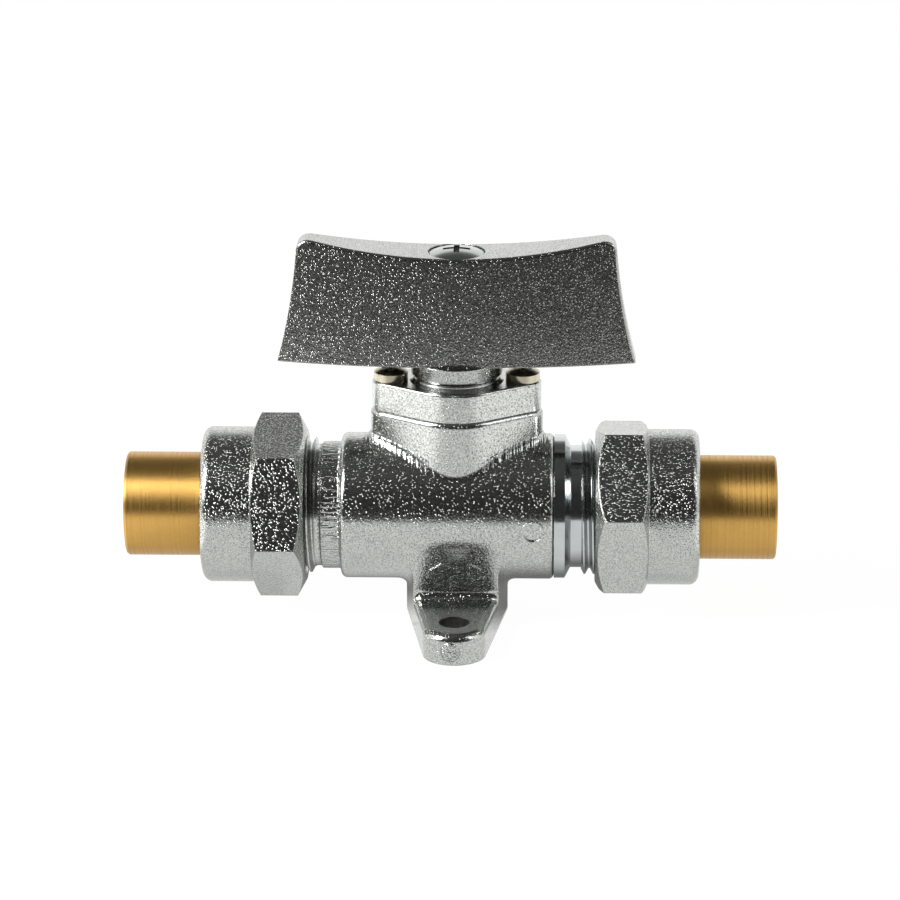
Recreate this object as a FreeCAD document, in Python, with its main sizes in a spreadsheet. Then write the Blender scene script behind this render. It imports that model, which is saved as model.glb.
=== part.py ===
import FreeCAD, Part
import Sketcher
import math
import os

# Quarter-turn union ball valve. X runs along the pipe, Z up the stem, -Y is the front.
# The origin is the middle of the foot's base. Every body is sketched about the pipe axis
# (local z = 0) and its Placement lifts it by axis_height.

App = FreeCAD
doc = App.newDocument("union_ball_valve")
sheet = doc.addObject("Spreadsheet::Sheet", "dims")

DRIVING = [
    # name, millimetres or degrees
    ("axis_height", 21.6),
    # forged body
    ("barrel_r", 14.2),
    ("barrel_left", 22.4),
    ("barrel_right", 18.9),
    ("neck_ring_r", 12.4),
    ("neck_ring_end", 26.3),
    ("body_end", 41.25),
    ("shoulder_round", 1.2),
    ("neck_fillet", 2.0),
    ("boss_fillet", 2.4),
    ("ledge_fillet", 1.8),
    ("ledge_round", 1.6),
    ("flange_round", 1.1),
    ("port_r", 7.5),
    ("port_depth", 20.0),
    ("flow_r", 5.0),
    # union thread, G 3/4
    ("thread_pitch", 1.8143),
    ("thread_crest_r", 13.22),
    ("thread_root_r", 12.06),
    ("thread_root_half", 0.151),
    ("thread_crest_half", 0.756),
    ("flank_slope", 0.5206),
    ("thread_gap", 0.12),
    ("flank_gap", 0.03),
    ("relief_r", 11.9),
    # lozenge neck and bonnet
    ("lozenge_mid_r", 10.9),
    ("lozenge_tip_r", 3.95),
    ("screw_offset", 12.7),
    ("flange_top", 20.35),
    ("bonnet_top", 26.0),
    ("bonnet_step", 0.35),
    ("hub_r", 8.5),
    ("hub_top", 27.1),
    ("spigot_r", 8.5),
    ("spigot_bottom", 16.9),
    ("chamber_r", 8.6),
    ("stop_floor", 13.0),
    ("stop_top", 16.0),
    ("stop_r", 7.6),
    ("stop_sweep", 121.0),
    ("lug_sweep", 30.0),
    # foot
    ("foot_half", 9.9),
    ("foot_flat", 0.2),
    ("foot_reach", 23.7),
    ("foot_tip_r", 6.1),
    ("ledge_level", 15.6),
    ("boss_top_level", 3.3),
    ("boss_top_reach", 13.8),
    ("boss_foot_reach", 10.0),
    ("foot_hole_reach", 22.5),
    ("foot_hole_r", 2.9),
    ("mark_height", 0.35),
    # ball and seats
    ("ball_r", 9.5),
    ("cavity_r", 10.2),
    ("cavity_left", 7.5),
    ("seat_outer_r", 8.6),
    ("seat_inner_r", 5.2),
    ("seat_back", 10.5),
    ("seat_front", 5.8),
    ("insert_start", 6.0),
    ("insert_r", 12.0),
    ("seal_thick", 1.5),
    # stem
    ("stem_r", 5.5),
    ("stem_start", 9.7),
    ("tang_reach", 5.0),
    ("stem_shoulder", 27.2),
    ("stem_end", 45.8),
    ("square_half", 4.0),
    ("tang_half", 2.0),
    ("tang_bottom", 6.3),
    ("collar_r", 7.5),
    ("collar_bottom", 13.1),
    ("collar_top", 15.9),
    ("ring_groove_r", 4.25),
    ("ring_groove_half", 0.95),
    ("lower_ring_z", 19.4),
    ("upper_ring_z", 23.6),
    ("running_gap", 0.05),
    # handle
    ("handle_bottom", 30.3),
    ("handle_half_bottom", 34.4),
    ("handle_half_top", 30.4),
    ("handle_tip_z", 54.85),
    ("saddle_z", 51.45),
    ("blade_curve_r", 150.0),
    ("blade_half_bottom", 7.0),
    ("blade_half_top", 5.7),
    ("blade_wall", 3.0),
    ("hollow_start", 7.5),
    ("hollow_end", 27.5),
    ("hollow_top", 46.8),
    ("handle_hub_r", 8.8),
    ("handle_hub_bottom", 27.3),
    # union nuts and tails
    ("gasket_thick", 2.0),
    ("gasket_inner_r", 8.0),
    ("tail_flange_r", 11.9),
    ("tail_flange_thick", 3.0),
    ("tail_r", 10.1),
    ("tail_length", 21.0),
    ("socket_r", 9.05),
    ("socket_depth", 13.0),
    ("nut_length", 20.1),
    ("nut_hex_length", 10.2),
    ("nut_wall", 3.1),
    ("nut_flats_half", 15.5),
    ("nut_collar_r", 15.15),
    ("nut_hole_r", 10.35),
    ("nut_relief_r", 13.5),
    ("left_hex_turn", 49.0),
    ("right_hex_turn", 10.0),
    ("end_piece_end", 38.9),
    # screws
    ("screw_r", 2.0),
    ("screw_head_r", 3.3),
    ("screw_head_top", 28.4),
    ("screw_bottom", 16.0),
    ("handle_screw_r", 3.0),
    ("handle_screw_head_r", 5.25),
    ("handle_screw_bottom", 36.5),
]


class Size:
    """A number together with the sheet expression that gives it."""

    def __init__(self, value, text):
        self.value = value
        self.text = text

    def combine(self, other, sign, result):
        right = other.text if isinstance(other, Size) else repr(float(other))
        return Size(result, "(" + self.text + sign + right + ")")

    def __add__(self, other):
        return self.combine(other, " + ", self.value + number(other))

    def __sub__(self, other):
        return self.combine(other, " - ", self.value - number(other))

    def __mul__(self, other):
        return self.combine(other, " * ", self.value * number(other))

    def __truediv__(self, other):
        return self.combine(other, " / ", self.value / number(other))

    def __neg__(self):
        return Size(-self.value, "(0 - " + self.text + ")")


def number(size):
    return size.value if isinstance(size, Size) else float(size)


def cosine(size):
    return Size(math.cos(math.radians(number(size))), "cos(" + size.text + ")")


def sine(size):
    return Size(math.sin(math.radians(number(size))), "sin(" + size.text + ")")


def arc_radius(half_chord, rise):
    """The radius of the arc that rises by rise in the middle of a chord."""
    return (half_chord * half_chord + rise * rise) / (rise * 2)


class Sizes:
    """Gives each driving dimension as a Size by its alias."""

    def __init__(self, rows):
        for row, (alias, value) in enumerate(rows, start=1):
            sheet.set("A" + str(row), alias)
            sheet.set("B" + str(row), str(value))
            sheet.setAlias("B" + str(row), alias)
            setattr(self, alias, Size(value, "dims." + alias))


d = Sizes(DRIVING)
doc.recompute()


def bind(target, path, size):
    """Ties a property to the sheet, or sets a plain number."""
    if isinstance(size, Size):
        target.setExpression(path, size.text)
    else:
        target.setExpression(path, repr(float(size)))


def make_body(name):
    body = doc.addObject("PartDesign::Body", name)
    body.Label = name
    return body


def origin_item(body, role):
    for item in body.Origin.OriginFeatures:
        if item.Role == role:
            return item
    return None


def make_sketch(body, name, plane, offset=None, turn=0.0):
    """A sketch on one of the body's origin planes, moved along its normal and turned upright."""
    sketch = body.newObject("Sketcher::SketchObject", name)
    sketch.AttachmentSupport = [(origin_item(body, plane), "")]
    sketch.MapMode = "FlatFace"
    if turn:
        sketch.AttachmentOffset = App.Placement(App.Vector(), App.Rotation(App.Vector(0, 1, 0), turn))
    if offset is not None:
        bind(sketch, "AttachmentOffset.Base.z", offset)
    return sketch


def arc_between(start, end, radius, side):
    """The arc from start to end whose centre lies to the left (side 1) or right (side -1)."""
    chord = end.sub(start)
    half = chord.Length / 2
    normal = App.Vector(-chord.y, chord.x, 0).normalize() * side
    middle = (start + end) * 0.5
    centre = middle + normal * math.sqrt(radius * radius - half * half)
    return Part.Arc(start, centre - normal * radius, end)


def outline(sketch, points):
    """A closed outline. A point (x, y, radius, side) starts an arc, and (x, y) a straight line."""
    count = len(points)
    spots = [App.Vector(number(point[0]), number(point[1]), 0) for point in points]
    base = sketch.GeometryCount
    first_end = []
    for i, point in enumerate(points):
        start = spots[i]
        end = spots[(i + 1) % count]
        if len(point) == 2:
            sketch.addGeometry(Part.LineSegment(start, end), False)
            first_end.append(1)
            continue
        index = sketch.addGeometry(arc_between(start, end, number(point[2]), point[3]), False)
        forward = sketch.getPoint(index, 1).distanceToPoint(start) < 1e-6
        first_end.append(1 if forward else 2)
        constraint = sketch.addConstraint(Sketcher.Constraint("Radius", index, number(point[2])))
        bind(sketch, "Constraints[" + str(constraint) + "]", point[2])
    for i, point in enumerate(points):
        following = (i + 1) % count
        last_end = 3 - first_end[i]
        sketch.addConstraint(Sketcher.Constraint(
            "Coincident", base + i, last_end, base + following, first_end[following]))
    for i, point in enumerate(points):
        for kind, size in (("DistanceX", point[0]), ("DistanceY", point[1])):
            constraint = sketch.addConstraint(Sketcher.Constraint(
                kind, -1, 1, base + i, first_end[i], number(size)))
            if isinstance(size, Size):
                bind(sketch, "Constraints[" + str(constraint) + "]", size)


def circle(sketch, x, y, radius):
    index = sketch.addGeometry(Part.Circle(
        App.Vector(number(x), number(y), 0), App.Vector(0, 0, 1), number(radius)), False)
    rows = (("DistanceX", x), ("DistanceY", y))
    for kind, size in rows:
        constraint = sketch.addConstraint(Sketcher.Constraint(kind, -1, 1, index, 3, number(size)))
        if isinstance(size, Size):
            bind(sketch, "Constraints[" + str(constraint) + "]", size)
    constraint = sketch.addConstraint(Sketcher.Constraint("Radius", index, number(radius)))
    bind(sketch, "Constraints[" + str(constraint) + "]", radius)


def turned(body, name, axis, points, cut=False, angle=360.0, turn=0.0):
    """A profile in the XZ plane turned about X_Axis or Z_Axis, added or cut."""
    sketch = make_sketch(body, name + "_profile", "XZ_Plane", turn=turn)
    outline(sketch, points)
    doc.recompute()
    kind = "PartDesign::Groove" if cut else "PartDesign::Revolution"
    feature = body.newObject(kind, name)
    feature.Profile = sketch
    feature.ReferenceAxis = (origin_item(body, axis), [""])
    if number(angle) < 360.0:
        feature.Midplane = True
    bind(feature, "Angle", angle)
    return feature


def prism(body, name, plane, draw, length, offset=None, cut=False, middle=False, reverse=False):
    """A sketch that draw() fills in, padded or pocketed along its plane's normal."""
    sketch = make_sketch(body, name + "_sketch", plane, offset)
    draw(sketch)
    doc.recompute()
    kind = "PartDesign::Pocket" if cut else "PartDesign::Pad"
    feature = body.newObject(kind, name)
    feature.Profile = sketch
    if middle:
        feature.SideType = "Symmetric"
    feature.Reversed = reverse
    bind(feature, "Length", length)
    return feature


def thread(body, name, start, height, inner_half, outer_half, inner_r, outer_r):
    """A right-hand helical groove about X, cut from x = start over the given height."""
    sketch = make_sketch(body, name + "_profile", "XZ_Plane")
    outline(sketch, [
        (start - inner_half, inner_r),
        (start + inner_half, inner_r),
        (start + outer_half, outer_r),
        (start - outer_half, outer_r),
    ])
    doc.recompute()
    helix = body.newObject("PartDesign::SubtractiveHelix", name)
    helix.Profile = sketch
    helix.ReferenceAxis = (origin_item(body, "X_Axis"), [""])
    helix.Mode = 0
    bind(helix, "Pitch", d.thread_pitch)
    bind(helix, "Height", height)
    helix.LeftHanded = False
    helix.Reversed = False
    return helix


def male_thread(body, name, start, height):
    over = 0.16
    thread(body, name, start, height,
           d.thread_root_half,
           d.thread_crest_half + d.flank_slope * over,
           d.thread_root_r,
           d.thread_crest_r + over)


def female_thread(body, name, start, height):
    under = 0.15
    thread(body, name, start, height,
           d.thread_crest_half + d.flank_gap + d.flank_slope * under,
           d.thread_root_half + d.flank_gap,
           d.thread_root_r + d.thread_gap - under,
           d.thread_crest_r + d.thread_gap)


def round_edges(body, name, radius, test):
    """Fillets every edge of the body's tip whose centre and box pass the test."""
    doc.recompute()
    tip = body.Tip
    names = []
    for index, edge in enumerate(tip.Shape.Edges, start=1):
        if test(edge):
            names.append("Edge" + str(index))
    feature = body.newObject("PartDesign::Fillet", name)
    feature.Base = (tip, names)
    bind(feature, "Radius", radius)
    doc.recompute()
    return feature


def ring_edge(x, radius):
    """A test for the full circle of the given radius about the pipe axis at x."""
    def test(edge):
        box = edge.BoundBox
        flat = box.XLength < 1e-3 and abs(box.Center.x - number(x)) < 0.05
        return flat and abs(box.ZMax - number(radius)) < 0.05 and abs(box.ZMin + number(radius)) < 0.05
    return test


def lozenge(mid_r, tip_r, reach):
    """Draws two tip arcs and two middle arcs joined by their common tangents."""
    lean = (mid_r - tip_r) / reach
    rise = Size(math.sqrt(1 - lean.value ** 2), "sqrt(1 - " + lean.text + " * " + lean.text + ")")
    mid_x = mid_r * lean
    mid_y = mid_r * rise
    tip_x = reach + tip_r * lean
    tip_y = tip_r * rise

    def draw(sketch):
        outline(sketch, [
            (mid_x, mid_y, mid_r, 1),
            (-mid_x, mid_y),
            (-tip_x, tip_y, tip_r, 1),
            (-tip_x, -tip_y),
            (-mid_x, -mid_y, mid_r, 1),
            (mid_x, -mid_y),
            (tip_x, -tip_y, tip_r, 1),
            (tip_x, tip_y),
        ])
    return draw


def wedge_outline(radius, half_width, reach, flat):
    """Draws a plan with straight sides at the middle that taper to a round tip at each end."""
    run = reach - flat
    squares = run.text + " * " + run.text + " + " + half_width.text + " * " + half_width.text
    span = Size(math.hypot(run.value, half_width.value), "sqrt(" + squares + ")")
    aim = Size(math.degrees(math.atan2(half_width.value, run.value)),
               "atan(" + half_width.text + " / " + run.text + ")")
    swing = Size(math.degrees(math.asin(radius.value / span.value)),
                 "asin(" + radius.text + " / " + span.text + ")")
    tilt = aim - swing
    touch_x = radius * cosine(tilt)
    touch_y = reach + radius * sine(tilt)

    def draw(sketch):
        outline(sketch, [
            (touch_x, touch_y, radius, 1),
            (-touch_x, touch_y),
            (-half_width, flat),
            (-half_width, -flat),
            (-touch_x, -touch_y, radius, 1),
            (touch_x, -touch_y),
            (half_width, -flat),
            (half_width, flat),
        ])
    return draw


def ledge_cut(side):
    """Draws the air over the foot's ledge and in front of the boss, at the front or the back."""
    far = 34.0

    def draw(sketch):
        outline(sketch, [
            (d.boss_foot_reach * side, -d.ledge_level),
            (d.boss_top_reach * side, -d.boss_top_level),
            (d.boss_top_reach * side, 1.0),
            (far * side, 1.0),
            (far * side, -d.ledge_level),
        ])
    return draw


def make_valve_body():
    body = make_body("valve_body")
    prism(body, "foot", "XY_Plane",
          wedge_outline(d.foot_tip_r, d.foot_half, d.foot_reach, d.foot_flat),
          d.axis_height, offset=-d.axis_height)
    for name, side in (("front_ledge", -1), ("rear_ledge", 1)):
        prism(body, name, "YZ_Plane", ledge_cut(side), d.foot_half * 3, cut=True, middle=True)
    prism(body, "neck", "XY_Plane", lozenge(d.lozenge_mid_r, d.lozenge_tip_r, d.screw_offset), d.flange_top)
    turned(body, "forging", "X_Axis", [
        (-d.body_end, 0),
        (-d.body_end, d.thread_root_r + 0.1),
        (-d.body_end + 1.1, d.thread_crest_r),
        (-d.neck_ring_end - 1.1, d.thread_crest_r),
        (-d.neck_ring_end - 1.0, d.relief_r),
        (-d.neck_ring_end, d.relief_r),
        (-d.neck_ring_end + 0.3, d.neck_ring_r),
        (-d.barrel_left, d.neck_ring_r),
        (-d.barrel_left, d.barrel_r),
        (d.barrel_right, d.barrel_r),
        (d.barrel_right, 0),
    ])
    round_edges(body, "left_shoulder", d.shoulder_round, ring_edge(-d.barrel_left, d.barrel_r))
    round_edges(body, "left_fillet", 0.5, ring_edge(-d.barrel_left, d.neck_ring_r))
    round_edges(body, "right_shoulder", 1.0, ring_edge(d.barrel_right, d.barrel_r))
    round_edges(body, "boss_root", d.boss_fillet, boss_root)
    round_edges(body, "neck_root", d.neck_fillet, neck_root)
    round_edges(body, "ledge_rounds", d.ledge_round, ledge_rim)
    round_edges(body, "ledge_corner", d.ledge_fillet, ledge_corner)
    round_edges(body, "flange_rim", d.flange_round,
                lambda edge: edge.BoundBox.ZMin > d.flange_top.value - 0.01)
    cut_body_bores(body)
    add_body_marks(body)
    male_thread(body, "union_thread", -d.body_end - 1.5, d.body_end - d.neck_ring_end + 1.05)
    return body


def on_barrel(edge):
    for spot in edge.discretize(5):
        if abs(math.hypot(spot.y, spot.z) - d.barrel_r.value) > 0.02:
            return False
    return abs(edge.BoundBox.Center.x) < d.barrel_right.value - 1.0


def boss_root(edge):
    box = edge.BoundBox
    return on_barrel(edge) and box.ZMax < 0 and box.YLength > 0.01


def neck_root(edge):
    box = edge.BoundBox
    return on_barrel(edge) and box.ZMin > 0 and box.YLength > 0.01


def ledge_corner(edge):
    box = edge.BoundBox
    level = abs(box.ZMax + d.ledge_level.value) < 0.01 and box.ZLength < 0.01
    return level and abs(abs(box.Center.y) - d.boss_foot_reach.value) < 0.01 and box.YLength < 0.01


def ledge_rim(edge):
    box = edge.BoundBox
    level = abs(box.ZMax + d.ledge_level.value) < 0.01 and box.ZLength < 0.01
    return level and box.YLength > 0.1


def cut_body_bores(body):
    """The waterway, the seat pocket, the ball cavity, the stem chamber and the screw holes."""
    seat_pocket_r = d.seat_outer_r + d.running_gap
    guide_r = d.stem_r + 0.1
    turned(body, "waterway", "X_Axis", [
        (-d.body_end - 1.0, 0),
        (-d.body_end - 1.0, d.port_r),
        (-d.body_end + d.port_depth, d.port_r),
        (-d.body_end + d.port_depth + 2.5, d.flow_r),
        (-d.seat_back, d.flow_r),
        (-d.seat_back, seat_pocket_r),
        (-d.cavity_left, seat_pocket_r),
        (-d.cavity_left, d.cavity_r),
        (d.insert_start, d.cavity_r),
        (d.insert_start, d.insert_r + 0.03),
        (d.barrel_right + 1.0, d.insert_r + 0.03),
        (d.barrel_right + 1.0, 0),
    ], cut=True)
    turned(body, "stem_chamber", "Z_Axis", [
        (0, 5.0),
        (guide_r, 5.0),
        (guide_r, d.stop_floor),
        (d.stop_r, d.stop_floor),
        (d.stop_r, d.stop_top),
        (d.chamber_r, d.stop_top),
        (d.chamber_r, d.flange_top + 1.0),
        (0, d.flange_top + 1.0),
    ], cut=True)
    turned(body, "stop_recess", "Z_Axis", [
        (d.stop_r - 0.6, d.stop_floor),
        (d.chamber_r, d.stop_floor),
        (d.chamber_r, d.stop_top + 0.1),
        (d.stop_r - 0.6, d.stop_top + 0.1),
    ], cut=True, angle=d.stop_sweep, turn=90.0)

    def screw_holes(sketch):
        for side in (-1, 1):
            circle(sketch, d.screw_offset * side, 0, d.screw_r + 0.02)
    prism(body, "screw_holes", "XY_Plane", screw_holes, 6.0,
          offset=d.flange_top - 5.1, cut=True, reverse=True)

    def foot_holes(sketch):
        for side in (-1, 1):
            circle(sketch, 0, d.foot_hole_reach * side, d.foot_hole_r)
    prism(body, "foot_holes", "XY_Plane", foot_holes, 8.0,
          offset=-d.axis_height - 1.0, cut=True, reverse=True)


def add_body_marks(body):
    """A raised two-way arrow on the front of the boss and a plain raised ring on the barrel."""
    drop = d.ledge_level - d.boss_top_level
    back = d.boss_top_reach - d.boss_foot_reach
    tilt = math.degrees(math.atan2(back.value, drop.value))
    sunk = 0.5
    middle_y = -(d.ledge_level + d.boss_top_level).value / 2 + 0.6
    middle_reach = (d.boss_foot_reach + d.boss_top_reach).value / 2 + 0.6 * back.value / drop.value
    sketch = make_sketch(body, "flow_mark_sketch", "XZ_Plane")
    normal = App.Vector(0, -math.sin(math.radians(tilt)), math.cos(math.radians(tilt)))
    spot = App.Vector(0, middle_y, middle_reach) - normal * sunk
    sketch.AttachmentOffset = App.Placement(spot, App.Rotation(App.Vector(1, 0, 0), tilt))
    outline(sketch, [
        (-5.0, 0.0),
        (-2.7, -1.6),
        (-2.7, -0.55),
        (2.7, -0.55),
        (2.7, -1.6),
        (5.0, 0.0),
        (2.7, 1.6),
        (2.7, 0.55),
        (-2.7, 0.55),
        (-2.7, 1.6),
    ])
    doc.recompute()
    arrow = body.newObject("PartDesign::Pad", "flow_mark")
    arrow.Profile = sketch
    bind(arrow, "Length", d.mark_height + sunk)

    def ring(sketch):
        circle(sketch, 14.8, -0.4, 2.25)
        circle(sketch, 14.8, -0.4, 1.75)
    prism(body, "round_mark", "XZ_Plane", ring, d.mark_height + 1.0, offset=d.barrel_r - 1.1)


def make_end_piece():
    body = make_body("end_piece")
    seat_pocket_r = d.seat_outer_r + d.running_gap
    inner_end = d.insert_start + d.seal_thick
    turned(body, "turning", "X_Axis", [
        (inner_end, seat_pocket_r),
        (d.seat_back, seat_pocket_r),
        (d.seat_back, d.flow_r),
        (d.end_piece_end - d.port_depth - 2.5, d.flow_r),
        (d.end_piece_end - d.port_depth, d.port_r),
        (d.end_piece_end, d.port_r),
        (d.end_piece_end, d.thread_root_r + 0.1),
        (d.end_piece_end - 1.1, d.thread_crest_r),
        (d.end_piece_end - 14.6, d.thread_crest_r),
        (d.end_piece_end - 14.7, d.relief_r),
        (d.barrel_right + 3.2, d.relief_r),
        (d.barrel_right + 2.1, d.barrel_r - 0.2),
        (d.barrel_right, d.barrel_r - 0.2),
        (d.barrel_right, d.insert_r),
        (inner_end, d.insert_r),
    ])
    male_thread(body, "union_thread", d.end_piece_end - 15.7, 17.2)
    return body


def ring_about_x(name, inner_x, outer_x, inner_r, outer_r):
    body = make_body(name)
    turned(body, "ring", "X_Axis", [
        (inner_x, inner_r),
        (outer_x, inner_r),
        (outer_x, outer_r),
        (inner_x, outer_r),
    ])
    return body


def make_seat(name, side):
    body = ring_about_x(name, d.seat_front * side, d.seat_back * side, d.seat_inner_r, d.seat_outer_r)
    dish = body.newObject("PartDesign::SubtractiveSphere", "dish")
    bind(dish, "Radius", d.ball_r + 0.03)
    return body


def make_ball():
    body = make_body("ball")
    sphere = body.newObject("PartDesign::AdditiveSphere", "sphere")
    bind(sphere, "Radius", d.ball_r)
    doc.recompute()
    prism(body, "bore", "YZ_Plane", lambda sketch: circle(sketch, 0, 0, d.flow_r),
          d.ball_r * 3, cut=True, middle=True)
    prism(body, "drive_slot", "XY_Plane",
          rectangle(d.tang_half + d.running_gap, d.ball_r + 1.0),
          6.0, offset=d.tang_bottom - 0.1, cut=True, reverse=True)
    return body


def rectangle(half_x, half_y):
    def draw(sketch):
        outline(sketch, [
            (-half_x, -half_y),
            (half_x, -half_y),
            (half_x, half_y),
            (-half_x, half_y),
        ])
    return draw


def make_bonnet():
    body = make_body("bonnet")
    prism(body, "plate", "XY_Plane",
          lozenge(d.lozenge_mid_r - d.bonnet_step, d.lozenge_tip_r - d.bonnet_step, d.screw_offset),
          d.bonnet_top - d.flange_top, offset=d.flange_top)
    round_edges(body, "plate_rounds", 0.5, lambda edge: edge.BoundBox.ZMin > d.bonnet_top.value - 0.01)
    groove_bottom = d.spigot_bottom + 0.6
    groove_top = d.flange_top - 0.6
    turned(body, "gland", "Z_Axis", [
        (0, d.spigot_bottom),
        (d.spigot_r, d.spigot_bottom),
        (d.spigot_r, groove_bottom),
        (d.spigot_r - 1.35, groove_bottom),
        (d.spigot_r - 1.35, groove_top),
        (d.spigot_r, groove_top),
        (d.spigot_r, d.bonnet_top - 1.0),
        (d.hub_r + 0.6, d.bonnet_top - 1.0),
        (d.hub_r + 0.6, d.bonnet_top),
        (d.hub_r, d.bonnet_top + 0.6),
        (d.hub_r, d.hub_top - 0.3),
        (d.hub_r - 0.3, d.hub_top),
        (0, d.hub_top),
    ])
    prism(body, "stem_bore", "XY_Plane", lambda sketch: circle(sketch, 0, 0, d.stem_r + d.running_gap),
          20.0, offset=d.spigot_bottom - 1.0, cut=True, reverse=True)

    def screw_holes(sketch):
        for side in (-1, 1):
            circle(sketch, d.screw_offset * side, 0, d.screw_r + 0.15)
    prism(body, "screw_holes", "XY_Plane", screw_holes, 10.0,
          offset=d.flange_top - 1.0, cut=True, reverse=True)
    return body


def make_o_ring(name, centre_r, cord_r, height):
    body = make_body(name)
    torus = body.newObject("PartDesign::AdditiveTorus", "cord")
    bind(torus, "Radius1", centre_r)
    bind(torus, "Radius2", cord_r)
    bind(torus, "Placement.Base.z", height)
    return body


def make_stem():
    body = make_body("stem")
    turned(body, "shaft", "Z_Axis", [
        (0, d.stem_start),
        (d.stem_r - 0.4, d.stem_start),
        (d.stem_r, d.stem_start + 0.4),
        (d.stem_r, d.collar_bottom),
        (d.collar_r, d.collar_bottom),
        (d.collar_r, d.collar_top),
        (d.stem_r, d.collar_top),
        (d.stem_r, d.lower_ring_z - d.ring_groove_half),
        (d.ring_groove_r, d.lower_ring_z - d.ring_groove_half),
        (d.ring_groove_r, d.lower_ring_z + d.ring_groove_half),
        (d.stem_r, d.lower_ring_z + d.ring_groove_half),
        (d.stem_r, d.upper_ring_z - d.ring_groove_half),
        (d.ring_groove_r, d.upper_ring_z - d.ring_groove_half),
        (d.ring_groove_r, d.upper_ring_z + d.ring_groove_half),
        (d.stem_r, d.upper_ring_z + d.ring_groove_half),
        (d.stem_r, d.stem_end - 0.5),
        (d.stem_r - 0.5, d.stem_end),
        (0, d.stem_end),
    ])
    turned(body, "stop_lug", "Z_Axis", [
        (d.stop_r - 0.6, d.collar_bottom),
        (d.chamber_r - 0.1, d.collar_bottom),
        (d.chamber_r - 0.1, d.collar_top),
        (d.stop_r - 0.6, d.collar_top),
    ], angle=d.lug_sweep, turn=135.0)
    prism(body, "tang", "XY_Plane", rectangle(d.tang_half, d.tang_reach),
          d.stem_start - d.tang_bottom + 0.2, offset=d.tang_bottom)

    def around_square(sketch):
        rectangle(d.square_half, d.square_half)(sketch)
        circle(sketch, 0, 0, d.stem_r + 1.0)
    prism(body, "square", "XY_Plane", around_square, d.stem_end - d.stem_shoulder + 1.0,
          offset=d.stem_shoulder, cut=True, reverse=True)
    prism(body, "screw_hole", "XY_Plane", lambda sketch: circle(sketch, 0, 0, d.handle_screw_r + 0.02),
          d.stem_end - d.handle_screw_bottom + 2.0, offset=d.handle_screw_bottom - 1.0,
          cut=True, reverse=True)
    return body


def blade_half(x, wall):
    """Half the handle's thickness at its underside, x from the middle, less a wall."""
    radius = d.blade_curve_r - wall
    value = math.sqrt(radius.value ** 2 - number(x) ** 2)
    root = Size(value, "sqrt(" + radius.text + " * " + radius.text + " - " + x.text + " * " + x.text + ")")
    return root - (d.blade_curve_r - d.blade_half_bottom)


def make_blade():
    """The handle's solid: a saddle-topped side outline within two facing drafted cones."""
    cone_height = 24.0
    draft = (d.blade_half_bottom - d.blade_half_top) / (d.saddle_z - d.handle_bottom)
    faces = []
    for name, side in (("blade_front", 1), ("blade_rear", -1)):
        cone = doc.addObject("Part::Cone", name)
        bind(cone, "Radius1", d.blade_curve_r)
        bind(cone, "Radius2", d.blade_curve_r - draft * cone_height)
        bind(cone, "Height", cone_height)
        bind(cone, "Placement.Base.y", (d.blade_curve_r - d.blade_half_bottom) * side)
        bind(cone, "Placement.Base.z", d.handle_bottom)
        faces.append(cone)
    side_view = doc.addObject("Sketcher::SketchObject", "blade_side_sketch")
    side_view.Placement = App.Placement(App.Vector(), App.Rotation(App.Vector(1, 0, 0), 90))
    end_curve_r = 120.0
    saddle_r = arc_radius(d.handle_half_top, d.handle_tip_z - d.saddle_z)
    outline(side_view, [
        (-d.handle_half_bottom, d.handle_bottom),
        (d.handle_half_bottom, d.handle_bottom, end_curve_r, -1),
        (d.handle_half_top, d.handle_tip_z, saddle_r, -1),
        (-d.handle_half_top, d.handle_tip_z, end_curve_r, -1),
    ])
    slab = doc.addObject("Part::Extrusion", "blade_side")
    slab.Base = side_view
    slab.DirMode = "Normal"
    slab.Solid = True
    bind(slab, "LengthFwd", 10.0)
    bind(slab, "LengthRev", 10.0)
    blade = doc.addObject("Part::MultiCommon", "blade")
    blade.Shapes = [slab] + faces
    doc.recompute()
    return blade


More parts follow.
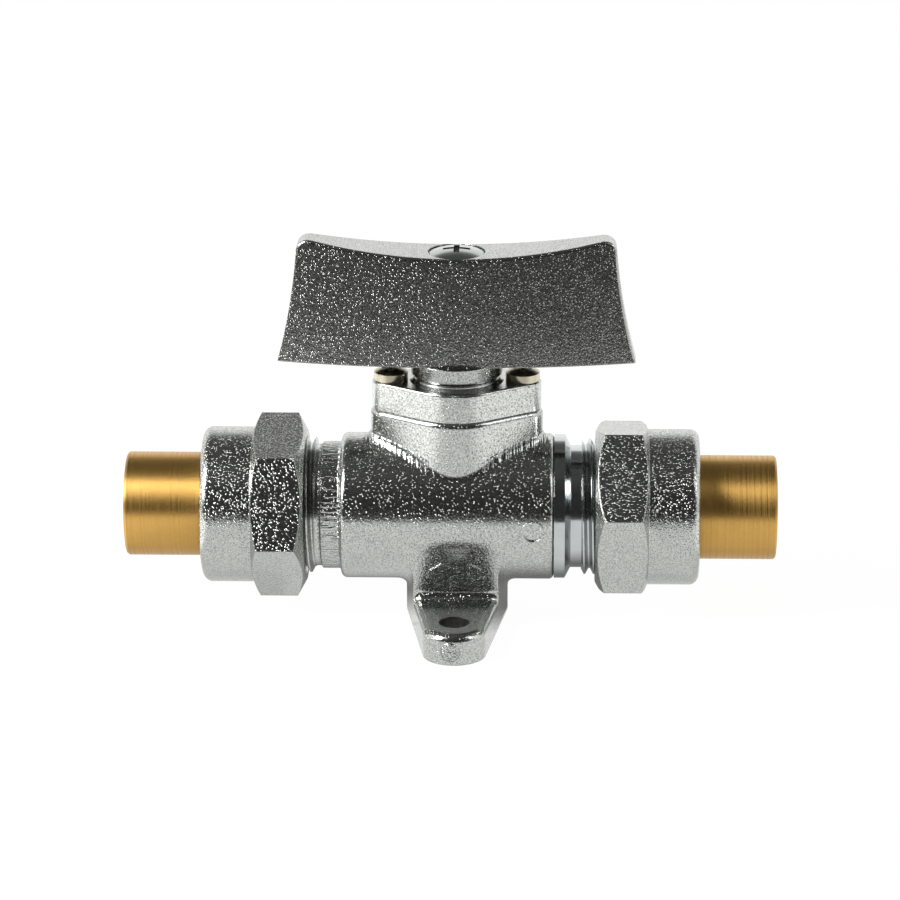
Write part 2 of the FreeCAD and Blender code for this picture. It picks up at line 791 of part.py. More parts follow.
def make_handle():
    blade = make_blade()
    body = make_body("handle")
    body.BaseFeature = blade
    doc.recompute()
    round_edges(body, "tip_rounds", 2.2, blade_tip_edge)
    round_edges(body, "edge_rounds", 0.6, blade_rim_edge)

    def hollows(sketch):
        near = blade_half(d.hollow_start, d.blade_wall)
        far = blade_half(d.hollow_end, d.blade_wall)
        curve = d.blade_curve_r - d.blade_wall
        outline(sketch, [
            (d.hollow_start, -near, curve, 1),
            (d.hollow_end, -far),
            (d.hollow_end, far, curve, 1),
            (d.hollow_start, near),
        ])
        outline(sketch, [
            (-d.hollow_end, -far, curve, 1),
            (-d.hollow_start, -near),
            (-d.hollow_start, near, curve, 1),
            (-d.hollow_end, far),
        ])
    prism(body, "hollows", "XY_Plane", hollows, d.hollow_top - d.handle_bottom + 1.0,
          offset=d.handle_bottom - 1.0, cut=True, reverse=True)
    turned(body, "hub", "Z_Axis", [
        (0, d.handle_hub_bottom),
        (d.handle_hub_r - 0.3, d.handle_hub_bottom),
        (d.handle_hub_r, d.handle_hub_bottom + 0.3),
        (d.handle_hub_r, d.handle_bottom),
        (0, d.handle_bottom),
    ])
    prism(body, "square_hole", "XY_Plane",
          rectangle(d.square_half + d.running_gap, d.square_half + d.running_gap),
          d.stem_end - d.handle_hub_bottom + 1.2, offset=d.handle_hub_bottom - 1.0, cut=True, reverse=True)
    turned(body, "screw_seat", "Z_Axis", [
        (0, d.stem_end - 1.0),
        (d.handle_screw_r + 0.1, d.stem_end - 1.0),
        (d.handle_screw_r + 0.1, d.saddle_z - 2.6),
        (d.handle_screw_r + 2.0, d.saddle_z - 0.7),
        (d.handle_screw_head_r + 0.25, d.saddle_z - 0.7),
        (d.handle_screw_head_r + 0.25, d.saddle_z + 4.0),
        (0, d.saddle_z + 4.0),
    ], cut=True)
    return body


def blade_tip_edge(edge):
    """The edges across the thickness at the two raised tips."""
    box = edge.BoundBox
    return box.ZMin > d.handle_tip_z.value - 0.6 and box.XLength < 1.0 and box.YLength > 2.0


def blade_rim_edge(edge):
    """The long top edges at the front and rear."""
    box = edge.BoundBox
    return box.ZMin > d.saddle_z.value - 0.6 and box.XLength > 20.0


def cross_recess(half_length, half_width):
    def draw(sketch):
        outline(sketch, [
            (-half_length, -half_width),
            (-half_width, -half_width),
            (-half_width, -half_length),
            (half_width, -half_length),
            (half_width, -half_width),
            (half_length, -half_width),
            (half_length, half_width),
            (half_width, half_width),
            (half_width, half_length),
            (-half_width, half_length),
            (-half_width, half_width),
            (-half_length, half_width),
        ])
    return draw


def make_handle_screw():
    body = make_body("handle_screw")
    rim = d.handle_screw_head_r - 0.05
    rim_top = d.saddle_z - 0.15
    crown = d.saddle_z + 0.8
    turned(body, "screw", "Z_Axis", [
        (0, d.handle_screw_bottom),
        (d.handle_screw_r - 0.4, d.handle_screw_bottom),
        (d.handle_screw_r, d.handle_screw_bottom + 0.4),
        (d.handle_screw_r, d.saddle_z - 2.6),
        (rim, d.saddle_z - 0.4),
        (rim, rim_top, arc_radius(rim, crown - rim_top), 1),
        (0, crown),
    ])
    prism(body, "recess", "XY_Plane", cross_recess(2.6, 0.55), 2.9, offset=d.saddle_z + 1.4, cut=True)
    return body


def make_bonnet_screw(name, side):
    body = make_body(name)
    rim_top = d.bonnet_top + 1.5
    turned(body, "screw", "Z_Axis", [
        (0, d.screw_bottom),
        (d.screw_r - 0.3, d.screw_bottom),
        (d.screw_r, d.screw_bottom + 0.3),
        (d.screw_r, d.bonnet_top),
        (d.screw_head_r, d.bonnet_top),
        (d.screw_head_r, rim_top, arc_radius(d.screw_head_r, d.screw_head_top - rim_top), 1),
        (0, d.screw_head_top),
    ])
    prism(body, "recess", "XY_Plane", cross_recess(1.7, 0.4), 2.4, offset=d.screw_head_top + 0.6, cut=True)
    bind(body, "Placement.Base.x", d.screw_offset * side)
    return body


def make_union(name, side, face, hex_turn):
    """A gasket, a tail and a union nut outboard of a threaded end's face."""
    flange = face + d.gasket_thick
    flange_out = flange + d.tail_flange_thick
    ring_about_x("gasket_" + name, face * side, flange * side, d.gasket_inner_r, d.tail_flange_r)
    tail = make_body("tail_" + name)
    tail_end = flange + d.tail_length
    throat_end = tail_end - d.socket_depth
    turned(tail, "turning", "X_Axis", [
        (flange * side, d.port_r + 0.25),
        (flange * side, d.tail_flange_r),
        (flange_out * side, d.tail_flange_r),
        (flange_out * side, d.tail_r),
        ((tail_end - 0.4) * side, d.tail_r),
        (tail_end * side, d.tail_r - 0.3),
        (tail_end * side, d.socket_r + 0.25),
        ((tail_end - 0.3) * side, d.socket_r),
        (throat_end * side, d.socket_r),
        (throat_end * side, d.port_r + 0.25),
    ])
    nut = make_body("union_nut_" + name)
    closed = flange_out + d.nut_wall
    opened = closed - d.nut_length
    hex_end = opened + d.nut_hex_length
    corner_r = d.nut_flats_half / math.cos(math.radians(30)) + 0.1
    bore_r = d.thread_root_r + d.thread_gap
    lead_r = d.nut_relief_r + 0.1
    relief_start = face + 0.3
    turned(nut, "turning", "X_Axis", [
        (opened * side, lead_r),
        (opened * side, d.nut_flats_half - 0.8),
        ((opened + 1.8) * side, corner_r),
        ((hex_end - 1.25) * side, corner_r),
        (hex_end * side, d.nut_collar_r),
        (closed * side, d.nut_collar_r),
        (closed * side, d.nut_hole_r),
        (flange_out * side, d.nut_hole_r),
        (flange_out * side, d.nut_relief_r),
        (relief_start * side, d.nut_relief_r),
        ((relief_start - 1.3) * side, bore_r),
        ((opened + 1.4) * side, bore_r),
    ])
    round_edges(nut, "collar_round", 1.8, ring_edge(closed * side, d.nut_collar_r))

    def around_hexagon(sketch):
        points = []
        for k in range(6):
            angle = hex_turn + 60.0 * k
            corner = d.nut_flats_half / math.cos(math.radians(30))
            points.append((-corner * cosine(angle), corner * sine(angle)))
        outline(sketch, points)
        circle(sketch, 0, 0, d.nut_collar_r + 5.0)
    prism(nut, "hexagon", "YZ_Plane", around_hexagon, d.nut_hex_length + 1.0,
          offset=hex_end * side, cut=True, reverse=side < 0)
    return nut


def make_unions():
    """Both unions. Each nut's thread groove starts half a pitch from its mate's groove."""
    left = make_union("left", -1, d.body_end, d.left_hex_turn)
    female_thread(left, "union_thread", -d.body_end - 1.5 - d.thread_pitch / 2, 15.7)
    right = make_union("right", 1, d.end_piece_end, d.right_hex_turn)
    female_thread(right, "union_thread", d.end_piece_end - 15.7 + d.thread_pitch * 1.5, 14.6)


def make_small_rings():
    ring_about_x("end_piece_seal", d.insert_start, d.insert_start + d.seal_thick,
                 d.cavity_r + 0.1, d.insert_r - 0.1)
    washer = make_body("thrust_washer")
    turned(washer, "ring", "Z_Axis", [
        (d.stem_r + 0.1, d.collar_top),
        (d.collar_r - 0.1, d.collar_top),
        (d.collar_r - 0.1, d.spigot_bottom),
        (d.stem_r + 0.1, d.spigot_bottom),
    ])
    seal_floor = d.spigot_r - 1.35
    make_o_ring("bonnet_seal", (d.chamber_r + seal_floor) / 2, (d.chamber_r - seal_floor) / 2 - 0.005,
                (d.spigot_bottom + d.flange_top) / 2)
    gap = d.stem_r + d.running_gap - d.ring_groove_r
    for name, height in (("stem_o_ring_lower", d.lower_ring_z), ("stem_o_ring_upper", d.upper_ring_z)):
        make_o_ring(name, d.ring_groove_r + gap / 2 - 0.005, gap / 2 - 0.01, height)


def build_all():
    make_valve_body()
    make_end_piece()
    make_seat("seat_left", -1)
    make_seat("seat_right", 1)
    make_bonnet()
    for name, side in (("bonnet_screw_left", -1), ("bonnet_screw_right", 1)):
        make_bonnet_screw(name, side)
    make_stem()
    make_ball()
    make_small_rings()
    make_handle()
    make_handle_screw()
    make_unions()


def check_and_write():
    bodies = [item for item in doc.Objects if item.TypeId == "PartDesign::Body"]
    for body in bodies:
        bind(body, "Placement.Base.z", d.axis_height)
    doc.recompute()
    faults = [item.Name for item in doc.Objects if "Invalid" in item.State or "Error" in item.State]
    for body in bodies:
        shape = body.Shape
        if shape.isNull() or not shape.isValid() or len(shape.Solids) != 1:
            faults.append(body.Label)
    if faults:
        raise RuntimeError("failed objects: " + ", ".join(faults))
    os.makedirs("parts", exist_ok=True)
    for body in bodies:
        body.Shape.exportStep("parts/" + body.Label + ".step")
        box = body.Shape.BoundBox
        print(body.Label, round(body.Shape.Volume, 1), round(box.XMin, 2), round(box.XMax, 2))


build_all()
check_and_write()
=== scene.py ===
import math

import bpy
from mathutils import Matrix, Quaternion, Vector


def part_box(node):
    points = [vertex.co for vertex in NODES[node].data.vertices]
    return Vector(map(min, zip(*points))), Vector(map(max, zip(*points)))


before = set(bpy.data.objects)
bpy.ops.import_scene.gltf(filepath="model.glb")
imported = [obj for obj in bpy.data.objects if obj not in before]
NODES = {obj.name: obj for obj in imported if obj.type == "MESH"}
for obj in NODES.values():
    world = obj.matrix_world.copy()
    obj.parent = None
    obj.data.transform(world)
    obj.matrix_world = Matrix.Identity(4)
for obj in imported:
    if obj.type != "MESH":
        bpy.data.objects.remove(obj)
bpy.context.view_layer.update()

# A quarter-turn union ball valve on a pale floor. The frame's units are metres: +X runs along
# the pipe, -Y faces the viewer, +Z runs up the stem, and the foot stands on the floor.

MM = 0.001
BALL_LOW, BALL_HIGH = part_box("ball")
PIPE_HEIGHT = (BALL_LOW[2] + BALL_HIGH[2]) / 2

# The plain ring between the left union thread and the barrel
RING_START = -26.3 * MM
RING_END = -22.6 * MM
RING_RADIUS = 12.4 * MM

# The fillet between the barrel and the neck, by its distance from the pipe axis
FILLET_INNER = 14.6 * MM
FILLET_OUTER = 15.4 * MM

# The foot: its screw holes, and the stub of its gate low on the front
HOLE_REACH = 22.5 * MM
HOLE_RADIUS = 2.9 * MM
GATE_X = -0.6 * MM
GATE_HEIGHT = 2.6 * MM
GATE_RADIUS = 1.8 * MM
FOOT_FRONT = -24.0 * MM

BONNET_TOP = PIPE_HEIGHT + 26.0 * MM
WING_BOTTOM = PIPE_HEIGHT + 30.3 * MM


# ---------------------------------------------------------------- shader helpers

class Shader:
    """A material under construction: a Principled surface and short calls that add nodes."""

    def __init__(self, name, colour, metallic, roughness):
        self.material = bpy.data.materials.new(name)
        self.material.use_nodes = True
        self.tree = self.material.node_tree
        self.tree.nodes.clear()
        output = self.tree.nodes.new("ShaderNodeOutputMaterial")
        self.surface = self.tree.nodes.new("ShaderNodeBsdfPrincipled")
        self.tree.links.new(self.surface.outputs["BSDF"], output.inputs["Surface"])
        self.surface.inputs["Base Color"].default_value = (*colour, 1.0)
        self.surface.inputs["Metallic"].default_value = metallic
        self.surface.inputs["Roughness"].default_value = roughness
        self.place = self.tree.nodes.new("ShaderNodeTexCoord").outputs["Object"]
        self.axes = None

    def put(self, node, name, value):
        """Links a socket to the node's input, or sets a plain value on it."""
        socket = node.inputs[name]
        if isinstance(value, bpy.types.NodeSocket):
            self.tree.links.new(value, socket)
        else:
            socket.default_value = value

    def math(self, operation, first, second=0.0, third=0.0):
        node = self.tree.nodes.new("ShaderNodeMath")
        node.operation = operation
        for index, value in enumerate((first, second, third)):
            self.put(node, index, value)
        return node.outputs[0]

    def axis(self, letter):
        if self.axes is None:
            self.axes = self.tree.nodes.new("ShaderNodeSeparateXYZ")
            self.tree.links.new(self.place, self.axes.inputs[0])
        return self.axes.outputs[letter]

    def length(self, first, second):
        second_square = self.math("MULTIPLY", second, second)
        return self.math("SQRT", self.math("MULTIPLY_ADD", first, first, second_square))

    def band(self, value, low, high, soft):
        """1 between low and high, falling to 0 over a soft margin outside each."""
        rise = self.ramp(value, low - soft, low, 0.0, 1.0)
        fall = self.ramp(value, high, high + soft, 1.0, 0.0)
        return self.math("MULTIPLY", rise, fall)

    def noise(self, size, detail=2.0, roughness=0.5):
        """Noise with cells of the given size in metres, 0 to 1."""
        node = self.tree.nodes.new("ShaderNodeTexNoise")
        self.tree.links.new(self.place, node.inputs["Vector"])
        node.inputs["Scale"].default_value = 1.0 / size
        node.inputs["Detail"].default_value = detail
        node.inputs["Roughness"].default_value = roughness
        return node.outputs["Fac"]

    def pimples(self, spacing, width):
        """Small round bumps, 1 at the top and 0 between them; spacing and width in metres."""
        node = self.tree.nodes.new("ShaderNodeTexVoronoi")
        self.tree.links.new(self.place, node.inputs["Vector"])
        node.inputs["Scale"].default_value = 1.0 / spacing
        return self.ramp(node.outputs["Distance"], 0.0, width / spacing / 2, 1.0, 0.0)

    def streaks(self, across, along, size):
        """Noise stretched along one direction, with streaks of the given width in metres."""
        stretch = 6
        node = self.tree.nodes.new("ShaderNodeTexNoise")
        node.noise_dimensions = "2D"
        place = self.tree.nodes.new("ShaderNodeCombineXYZ")
        self.put(place, 0, across)
        self.put(place, 1, self.math("MULTIPLY", along, 1 / stretch))
        self.tree.links.new(place.outputs[0], node.inputs["Vector"])
        node.inputs["Scale"].default_value = 1.0 / size
        node.inputs["Detail"].default_value = 1.0
        return self.ramp(node.outputs["Fac"], 0.35, 0.6, 0.0, 1.0)

    def lathe_lines(self, size, turn_axis="X"):
        """One-dimensional noise across the turning lines of a piece turned about X or Z."""
        if turn_axis == "X":
            second = self.math("SUBTRACT", self.axis("Z"), PIPE_HEIGHT)
            first = self.axis("Y")
            along = self.axis("X")
        else:
            first = self.axis("X")
            second = self.axis("Y")
            along = self.axis("Z")
        radius = self.length(first, second)
        node = self.tree.nodes.new("ShaderNodeTexNoise")
        node.noise_dimensions = "1D"
        self.tree.links.new(self.math("ADD", along, radius), node.inputs["W"])
        node.inputs["Scale"].default_value = 1.0 / size
        node.inputs["Detail"].default_value = 3.0
        return node.outputs["Fac"]

    def ramp(self, value, low, high, to_low, to_high):
        """Eases from to_low at low to to_high at high, and stays level outside."""
        node = self.tree.nodes.new("ShaderNodeMapRange")
        node.interpolation_type = "SMOOTHSTEP"
        for index, item in enumerate((value, low, high, to_low, to_high)):
            self.put(node, index, item)
        return node.outputs["Result"]

    def mix_colours(self, factor, first, second):
        """Blends two colours, or a blend and a colour, into the base colour."""
        node = self.tree.nodes.new("ShaderNodeMix")
        node.data_type = "RGBA"
        self.put(node, 0, factor)
        for index, colour in ((6, first), (7, second)):
            self.put(node, index, colour if isinstance(colour, bpy.types.NodeSocket) else (*colour, 1.0))
        self.tree.links.new(node.outputs[2], self.surface.inputs["Base Color"])
        return node.outputs[2]

    def soft_edges(self, radius):
        bevel = self.tree.nodes.new("ShaderNodeBevel")
        bevel.samples = 4
        bevel.inputs["Radius"].default_value = radius
        return bevel.outputs["Normal"]

    def bump(self, height, depth, normal=None):
        node = self.tree.nodes.new("ShaderNodeBump")
        self.put(node, "Height", height)
        node.inputs["Distance"].default_value = depth
        if normal is not None:
            self.tree.links.new(normal, node.inputs["Normal"])
        return node.outputs["Normal"]

    def finish(self, normal, roughness=None):
        self.tree.links.new(normal, self.surface.inputs["Normal"])
        if roughness is not None:
            self.tree.links.new(roughness, self.surface.inputs["Roughness"])
        return self.material


# ---------------------------------------------------------------- materials

def forged_plate(name, tones, grain, edge, smooth_zone=None, ribs=None, painted_hole_shade=None):
    """Bright plating over a shot-blasted forging.

    tones: two colours that the plating is speckled with.
    grain: spacing, width and height of the pimples, and height of the lumps under them.
    edge: radius of the softened edges.
    smooth_zone(shader) gives 1 where the piece is machined, ribs(shader) the height of marks
    over the grain, and the last argument 1 where shade is painted in: the colour goes near
    black and the surface duller there.
    """
    shader = Shader(name, tones[1], 1.0, 0.2)
    spacing, width, pimple_height, lump_height = grain
    lumps = shader.noise(spacing * 0.8, 1.0, 0.5)
    dots = shader.math("MULTIPLY", shader.pimples(spacing, width), pimple_height)
    height = shader.math("MULTIPLY_ADD", lumps, lump_height, dots)
    if smooth_zone is not None:
        grain_left = 0.08
        rough_part = shader.ramp(smooth_zone(shader), 0.0, 1.0, 1.0, grain_left)
        height = shader.math("MULTIPLY", height, rough_part)
    if ribs is not None:
        height = shader.math("ADD", height, ribs(shader))
    normal = shader.bump(height, 1.0, shader.soft_edges(edge))
    drift = shader.math("MULTIPLY", shader.noise(7 * MM, 3.0, 0.6), 0.3)
    speckle = shader.ramp(shader.noise(spacing * 0.6, 1.0, 0.5), 0.35, 0.65, 0.0, 0.7)
    plating = shader.mix_colours(shader.math("ADD", drift, speckle), *tones)
    roughness = shader.ramp(lumps, 0.3, 0.7, 0.24, 0.14)
    if painted_hole_shade is not None:
        # Painted shade: where this mask is 1, the plating colour is swapped for near black to stand in
        # for the shade inside the foot's deep screw holes.
        painted_shade = painted_hole_shade(shader)
        shader.mix_colours(painted_shade, plating, (0.06, 0.055, 0.05))
        roughness = shader.math("MAXIMUM", roughness, shader.math("MULTIPLY", painted_shade, 0.5))
    return shader.finish(normal, roughness)


def turned_plate(name, dark, light, roughness):
    """Bright plating over a piece turned about the pipe axis."""
    shader = Shader(name, light, 1.0, roughness)
    lines = shader.lathe_lines(0.09 * MM)
    normal = shader.bump(lines, 0.004 * MM, shader.soft_edges(0.12 * MM))
    shader.mix_colours(shader.noise(4 * MM), dark, light)
    patches = shader.ramp(shader.noise(1.5 * MM), 0.3, 0.7, roughness * 0.8, roughness * 1.3)
    return shader.finish(normal, patches)


def raw_brass(name, dark, light):
    """Bare brass with fine turning lines, which spread its highlights along the pipe."""
    shader = Shader(name, light, 1.0, 0.28)
    shader.surface.inputs["Anisotropic"].default_value = 0.8
    shader.surface.inputs["Anisotropic Rotation"].default_value = 0.25
    tangent = shader.tree.nodes.new("ShaderNodeTangent")
    tangent.direction_type = "RADIAL"
    tangent.axis = "X"
    shader.tree.links.new(tangent.outputs[0], shader.surface.inputs["Tangent"])
    lines = shader.lathe_lines(0.3 * MM)
    grain = shader.noise(0.35 * MM, 2.0, 0.6)
    height = shader.math("MULTIPLY_ADD", grain, 0.3, lines)
    normal = shader.bump(height, 0.02 * MM, shader.soft_edges(0.15 * MM))
    stain = shader.noise(3.5 * MM, 4.0, 0.65)
    patchy = shader.math("MULTIPLY_ADD", grain, 0.6, shader.math("MULTIPLY", stain, 0.5))
    shader.mix_colours(patchy, dark, light)
    return shader.finish(normal, shader.ramp(lines, 0.3, 0.7, 0.36, 0.56))


def fine_metal(name, dark, light, roughness):
    """Smooth metal of a small piece turned about an upright axis."""
    shader = Shader(name, light, 1.0, roughness)
    lines = shader.lathe_lines(0.1 * MM, "Z")
    normal = shader.bump(lines, 0.003 * MM, shader.soft_edges(0.1 * MM))
    shader.mix_colours(shader.noise(2 * MM), dark, light)
    return shader.finish(normal)


def soft_solid(name, dark, light, roughness, grain, depth):
    """Plastic, rubber or fibre with a fine mottled grain."""
    shader = Shader(name, light, 0.0, roughness)
    speck = shader.noise(grain, 3.0)
    shader.mix_colours(speck, dark, light)
    return shader.finish(shader.bump(speck, depth))


def body_machined_zone(shader):
    """1 on the union thread and on the foot's base."""
    on_thread = shader.math("LESS_THAN", shader.axis("X"), RING_START)
    on_base = shader.math("LESS_THAN", shader.axis("Z"), 0.15 * MM)
    return shader.math("MAXIMUM", on_thread, on_base)


def body_drag_marks(shader):
    """Short ribs round the ring beside the thread and down the fillet under the neck."""
    rib_height = 0.14 * MM
    fade = 0.4 * MM
    x = shader.axis("X")
    y = shader.axis("Y")
    level = shader.math("SUBTRACT", shader.axis("Z"), PIPE_HEIGHT)

    around = shader.math("MULTIPLY", shader.math("ARCTAN2", y, level), RING_RADIUS)
    on_ring = shader.band(x, RING_START, RING_END, fade)
    ring_part = shader.math("MULTIPLY", shader.streaks(around, x, 0.65 * MM), on_ring)

    on_fillet = shader.band(shader.length(y, level), FILLET_INNER, FILLET_OUTER, fade)
    above_pipe = shader.math("GREATER_THAN", level, 0.0)
    off_middle = shader.ramp(shader.math("ABSOLUTE", x), 3.0 * MM, 5.5 * MM, 0.0, 1.0)
    where = shader.math("MULTIPLY", shader.math("MULTIPLY", on_fillet, above_pipe), off_middle)
    fillet_ribs = shader.streaks(x, shader.length(x, y), 0.7 * MM)
    fillet_part = shader.math("MULTIPLY", fillet_ribs, where)

    return shader.math("MULTIPLY", shader.math("MAXIMUM", ring_part, fillet_part), rib_height)


def foot_gate_mark(shader):
    """The rough round stub left low on the front of the foot."""
    rim = 0.2 * MM
    off_x = shader.math("SUBTRACT", shader.axis("X"), GATE_X)
    off_z = shader.math("SUBTRACT", shader.axis("Z"), GATE_HEIGHT)
    stub = shader.ramp(shader.length(off_x, off_z), GATE_RADIUS - rim, GATE_RADIUS + rim, 1.0, 0.0)
    on_front = shader.math("LESS_THAN", shader.axis("Y"), FOOT_FRONT)
    rough_top = shader.math("MULTIPLY_ADD", shader.noise(0.7 * MM, 2.0, 0.6), 0.5 * MM, 0.1 * MM)
    return shader.math("MULTIPLY", shader.math("MULTIPLY", stub, on_front), rough_top)


def body_marks(shader):
    return shader.math("ADD", body_drag_marks(shader), foot_gate_mark(shader))


def hub_draft(shader):
    """The handle's hub looks narrower towards its bottom."""
    slope = 0.25
    below_wing = shader.math("SUBTRACT", shader.axis("Z"), WING_BOTTOM)
    return shader.math("MULTIPLY", shader.math("MINIMUM", below_wing, 0.0), slope)


def foot_hole_shade_zone(shader):
    """1 inside the two screw holes of the foot, where shade is painted into the colour."""
    off_centre = shader.math("SUBTRACT", shader.math("ABSOLUTE", shader.axis("Y")), HOLE_REACH)
    distance = shader.length(shader.axis("X"), off_centre)
    return shader.ramp(distance, HOLE_RADIUS - 0.05 * MM, HOLE_RADIUS + 0.1 * MM, 1.0, 0.0)


def bonnet_machined_zone(shader):
    """1 on the bonnet's top and gland hub."""
    return shader.math("GREATER_THAN", shader.axis("Z"), BONNET_TOP - 0.1 * MM)


def dress_nodes():
    """Gives every node its material. Grains: spacing, width, pimple height, lump height."""
    greys = ((0.34, 0.35, 0.335), (0.59, 0.60, 0.57))
    handle_greys = ((0.28, 0.285, 0.275), (0.55, 0.56, 0.53))
    body_grain = (0.50 * MM, 0.31 * MM, 0.085 * MM, 0.03 * MM)
    handle_grain = (0.44 * MM, 0.27 * MM, 0.07 * MM, 0.02 * MM)
    nut_grain = (0.42 * MM, 0.36 * MM, 0.085 * MM, 0.04 * MM)
    looks = {
        "valve_body": forged_plate("plated_forging", greys, body_grain, 0.2 * MM,
                                   body_machined_zone, body_marks, foot_hole_shade_zone),
        "bonnet": forged_plate("plated_bonnet", greys, body_grain, 0.12 * MM, bonnet_machined_zone),
        "handle": forged_plate("plated_handle", handle_greys, handle_grain, 0.3 * MM, ribs=hub_draft),
        "end_piece": turned_plate("plated_turning", (0.44, 0.46, 0.46), (0.56, 0.58, 0.58), 0.12),
        "ball": fine_metal("polished_ball", (0.72, 0.73, 0.74), (0.8, 0.8, 0.81), 0.06),
        "stem": fine_metal("stem_brass", (0.70, 0.50, 0.22), (0.82, 0.62, 0.30), 0.2),
        "handle_screw": fine_metal("handle_screw_plate", (0.34, 0.37, 0.34), (0.46, 0.49, 0.45), 0.14),
    }
    nut = forged_plate("plated_nut", greys, nut_grain, 0.3 * MM)
    brass = raw_brass("raw_brass", (0.50, 0.28, 0.07), (0.62, 0.385, 0.115))
    steel = fine_metal("screw_steel", (0.42, 0.38, 0.28), (0.60, 0.56, 0.44), 0.3)
    ptfe = soft_solid("ptfe", (0.84, 0.84, 0.82), (0.93, 0.93, 0.92), 0.4, 0.6 * MM, 0.003 * MM)
    rubber = soft_solid("seal_rubber", (0.02, 0.02, 0.02), (0.05, 0.05, 0.05), 0.55, 0.4 * MM, 0.004 * MM)
    fibre = soft_solid("gasket_fibre", (0.25, 0.07, 0.05), (0.45, 0.15, 0.11), 0.8, 0.3 * MM, 0.02 * MM)
    for side in ("left", "right"):
        looks["union_nut_" + side] = nut
        looks["tail_" + side] = brass
        looks["bonnet_screw_" + side] = steel
        looks["seat_" + side] = ptfe
        looks["gasket_" + side] = fibre
    for name in ("thrust_washer", "end_piece_seal"):
        looks[name] = ptfe
    for name in ("bonnet_seal", "stem_o_ring_lower", "stem_o_ring_upper"):
        looks[name] = rubber

    for name, material in looks.items():
        for material_slot in NODES[name].material_slots:
            material_slot.material = material


# ---------------------------------------------------------------- surroundings

def plain_shader(name, colour, glow):
    """A matt surface that also glows white, at the given strength."""
    shader = Shader(name, colour, 0.0, 0.9)
    shader.surface.inputs["Specular IOR Level"].default_value = 0.0
    shader.surface.inputs["Emission Color"].default_value = (1.0, 1.0, 1.0, 1.0)
    shader.surface.inputs["Emission Strength"].default_value = glow
    return shader


def make_mesh_object(name, points, faces, material):
    mesh = bpy.data.meshes.new(name)
    mesh.from_pydata(points, [], faces)
    mesh.materials.append(material)
    thing = bpy.data.objects.new(name, mesh)
    bpy.context.scene.collection.objects.link(thing)
    return thing


def rectangle(left, right, front, back, height):
    """Corners of a level rectangle."""
    return [(left, front, height), (right, front, height), (right, back, height), (left, back, height)]


def make_floor():
    reach = 6.0
    points = rectangle(-reach, reach, -reach, reach, 0.0)
    white = plain_shader("floor_white", (0.06, 0.06, 0.06), 0.97).material
    make_mesh_object("floor", points, [(0, 1, 2, 3)], white)


def make_reflected(name, points, faces, material):
    """A mesh that shows in reflections and nowhere else."""
    thing = make_mesh_object(name, points, faces, material)
    thing.visible_camera = False
    thing.visible_diffuse = False
    thing.visible_shadow = False


def make_bounce_card(name, near_x, far_x, glow):
    """A white card lying beside the object, brighter than the floor."""
    points = rectangle(near_x, far_x, -0.16, 0.12, 0.7 * MM)
    make_reflected(name, points, [(0, 1, 2, 3)], plain_shader(name, (0.1, 0.1, 0.1), glow).material)


def make_contact_shade():
    """The floor right under the pipe, which the object keeps its own light from."""
    half_length = 0.08
    for index, (half_depth, glow) in enumerate(((0.022, 0.93), (0.010, 0.78))):
        height = (0.2 + 0.1 * index) * MM
        points = rectangle(-half_length, half_length, -half_depth, half_depth, height)
        name = "contact_shade_" + str(index)
        shade = plain_shader(name, (0.05, 0.05, 0.05), glow).material
        make_reflected(name, points, [(0, 1, 2, 3)], shade)


def make_foot_shade(name, sign, front):
    """The floor beside and behind the foot, which the valve over it keeps dark."""
    fade_depth = 18 * MM
    floor_glow = 0.97
    shade_glow = 0.22
    points = rectangle(8 * MM * sign, 34 * MM * sign, front, 60 * MM, 0.55 * MM)
    shader = plain_shader(name, (0.05, 0.05, 0.05), floor_glow)
    fade = shader.ramp(shader.axis("Y"), front, front + fade_depth, floor_glow, shade_glow)
    shader.put(shader.surface, "Emission Strength", fade)
    make_reflected(name, points, [(0, 1, 2, 3)], shader.material)


def make_dark_ring(near, far, first_bearing, last_bearing):
    """The studio's dark floor round the table, between two bearings in degrees from the front."""
    steps = 40
    height = 0.5 * MM
    points = []
    faces = []
    for i in range(steps + 1):
        angle = math.radians(first_bearing + (last_bearing - first_bearing) * i / steps)
        for radius in (near, far):
            points.append((radius * math.sin(angle), -radius * math.cos(angle), height))
        if i < steps:
            faces.append((2 * i, 2 * i + 1, 2 * i + 3, 2 * i + 2))
    black = plain_shader("ring_black", (0.03, 0.03, 0.032), 0.03).material
    make_reflected("dark_ring", points, faces, black)


def direction(azimuth, elevation):
    """A unit vector out from the object, in degrees round from the front and up."""
    around = math.radians(azimuth)
    up = math.radians(elevation)
    return Vector((math.sin(around) * math.cos(up), -math.cos(around) * math.cos(up), math.sin(up)))


def make_soft_box(name, azimuth, elevation, power, height):
    """An area light at a bearing round the object, aimed at it."""
    distance = 0.6
    target = Vector((0, 0, PIPE_HEIGHT))
    place = target + direction(azimuth, elevation) * distance
    light = bpy.data.lights.new(name, "AREA")
    light.shape = "RECTANGLE"
    light.size = 0.16
    light.size_y = height
    light.energy = power
    lamp = bpy.data.objects.new(name, light)
    lamp.location = place
    lamp.rotation_euler = (target - place).to_track_quat("-Z", "Y").to_euler()
    bpy.context.scene.collection.objects.link(lamp)


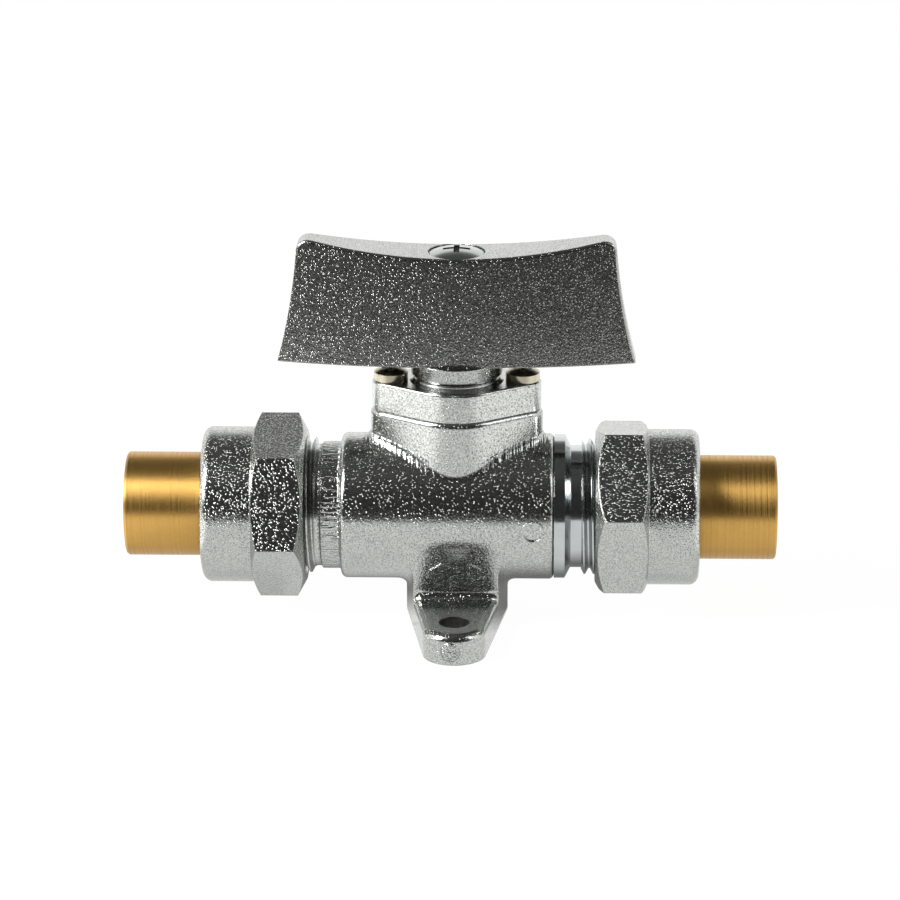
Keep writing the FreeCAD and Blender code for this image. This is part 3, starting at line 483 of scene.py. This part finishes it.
def make_world():
    """White sweep low behind and beside, and a dark room overhead and on the camera's side."""
    world = bpy.data.worlds.new("studio")
    world.use_nodes = True
    tree = world.node_tree
    split = tree.nodes.new("ShaderNodeSeparateXYZ")
    tree.links.new(tree.nodes.new("ShaderNodeTexCoord").outputs["Generated"], split.inputs[0])

    def bands(stops):
        """Greys by height: 0 is straight down, 0.5 the horizon and 1 straight up."""
        ramp = tree.nodes.new("ShaderNodeValToRGB")
        ramp.color_ramp.interpolation = "EASE"
        tree.links.new(split.outputs["Z"], ramp.inputs["Fac"])
        elements = ramp.color_ramp.elements
        while len(elements) < len(stops):
            elements.new(0.5)
        for element, (position, grey) in zip(elements, stops):
            element.position = position
            element.color = (grey, grey, grey, 1.0)
        return ramp.outputs["Color"]

    room = bands([(0.0, 0.035), (0.62, 0.04), (0.8, 0.06), (1.0, 0.08)])
    sweep = bands([(0.0, 1.25), (0.46, 1.25), (0.60, 0.26), (0.70, 0.13), (1.0, 0.08)])
    side = tree.nodes.new("ShaderNodeMapRange")
    side.interpolation_type = "SMOOTHSTEP"
    tree.links.new(split.outputs["Y"], side.inputs["Value"])
    side.inputs["From Min"].default_value = -0.55
    side.inputs["From Max"].default_value = -0.2
    blend = tree.nodes.new("ShaderNodeMix")
    blend.data_type = "RGBA"
    tree.links.new(side.outputs["Result"], blend.inputs[0])
    tree.links.new(room, blend.inputs[6])
    tree.links.new(sweep, blend.inputs[7])
    tree.links.new(blend.outputs[2], tree.nodes["Background"].inputs["Color"])
    bpy.context.scene.world = world


def make_camera():
    distance = 0.750
    lean = math.radians(-0.15)
    target = Vector((-1.36 * MM, 0.0, PIPE_HEIGHT + 11.5 * MM))
    away = direction(1.6, 19.2)
    camera_data = bpy.data.cameras.new("camera")
    camera_data.sensor_width = 36.0
    camera_data.lens = 154.5
    camera_data.clip_start = 0.01
    camera = bpy.data.objects.new("camera", camera_data)
    camera.location = target + away * distance
    aim = (-away).to_track_quat("-Z", "Y")
    camera.rotation_euler = (aim @ Quaternion((0.0, 0.0, 1.0), lean)).to_euler()
    bpy.context.scene.collection.objects.link(camera)
    bpy.context.scene.camera = camera


bpy.context.scene.view_settings.view_transform = "Standard"
dress_nodes()
make_floor()
make_dark_ring(near=0.21, far=5.0, first_bearing=-130.0, last_bearing=50.0)
make_contact_shade()
make_foot_shade("foot_shade_left", sign=-1, front=-9 * MM)
make_foot_shade("foot_shade_right", sign=1, front=-18 * MM)
make_bounce_card("card_left", near_x=-0.074, far_x=-0.30, glow=1.75)
make_bounce_card("card_right", near_x=0.074, far_x=0.30, glow=1.35)
make_soft_box("key_left", azimuth=-65.0, elevation=36.0, power=4.3, height=0.36)
make_soft_box("fill_right", azimuth=72.0, elevation=38.0, power=0.4, height=0.30)
make_world()
make_camera()
